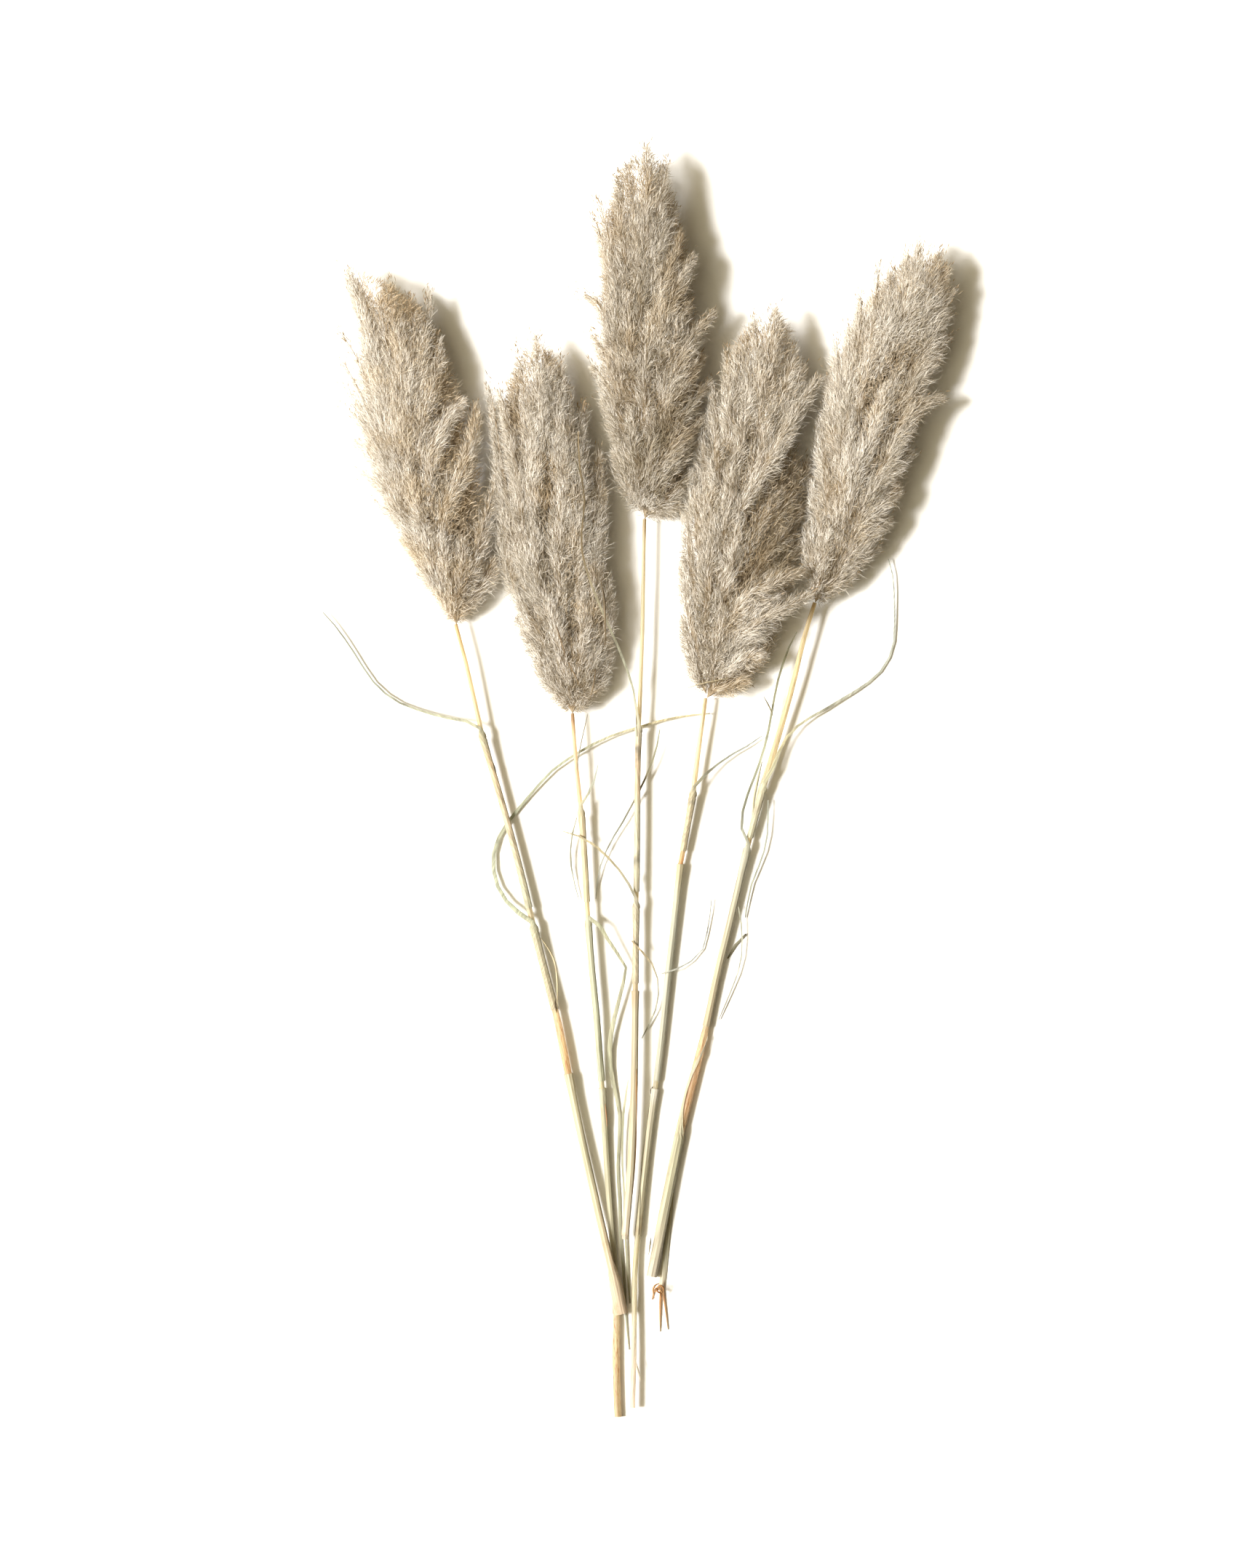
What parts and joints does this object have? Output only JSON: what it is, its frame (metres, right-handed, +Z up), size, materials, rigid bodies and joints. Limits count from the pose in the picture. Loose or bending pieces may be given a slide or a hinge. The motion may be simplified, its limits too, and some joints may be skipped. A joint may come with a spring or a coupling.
{
  "type": "bundle of dried pampas grass",
  "caption": "Loose bundle of cut, dried pampas-grass stems lying flat, with feathery beige plumes, straw stems, leaf sheaths and thin curling leaf blades.",
  "frame": {"origin": "centre of the bounding box in plan, at the surface that the bundle lies on", "axes": "+Z up, away from the surface; +Y along the stems from the cut ends to the plume tips; +X to the right seen from above"},
  "size_m": [0.578, 1.1646, 0.054],
  "materials": {
    "plume": "matte",
    "culm": "satin",
    "leaf": "matte"
  },
  "bodies": {
    "root": {"plume_1": "plume", "plume_2": "plume", "plume_3": "plume", "plume_4": "plume", "plume_5": "plume", "stem_1": "culm", "stem_2": "culm", "stem_3": "culm", "stem_4": "culm", "stem_5": "culm", "leaf_1a": "leaf", "leaf_1b": "leaf", "leaf_1c": "leaf", "leaf_2a": "leaf", "leaf_2b": "leaf", "leaf_2c": "leaf", "leaf_3a": "leaf", "leaf_3b": "leaf", "leaf_3c": "leaf", "leaf_4a": "leaf", "leaf_4b": "leaf", "leaf_4c": "leaf", "leaf_5a": "leaf", "leaf_5b": "leaf", "leaf_5c": "leaf", "leaf_strip_1": "leaf", "leaf_strip_2": "leaf", "leaf_strip_3": "leaf", "leaf_strip_4": "leaf", "leaf_strip_5": "leaf", "leaf_strip_6": "leaf", "leaf_strip_7": "leaf", "leaf_strip_8": "leaf", "torn_sheath": "leaf"}
  },
  "joints": []
}
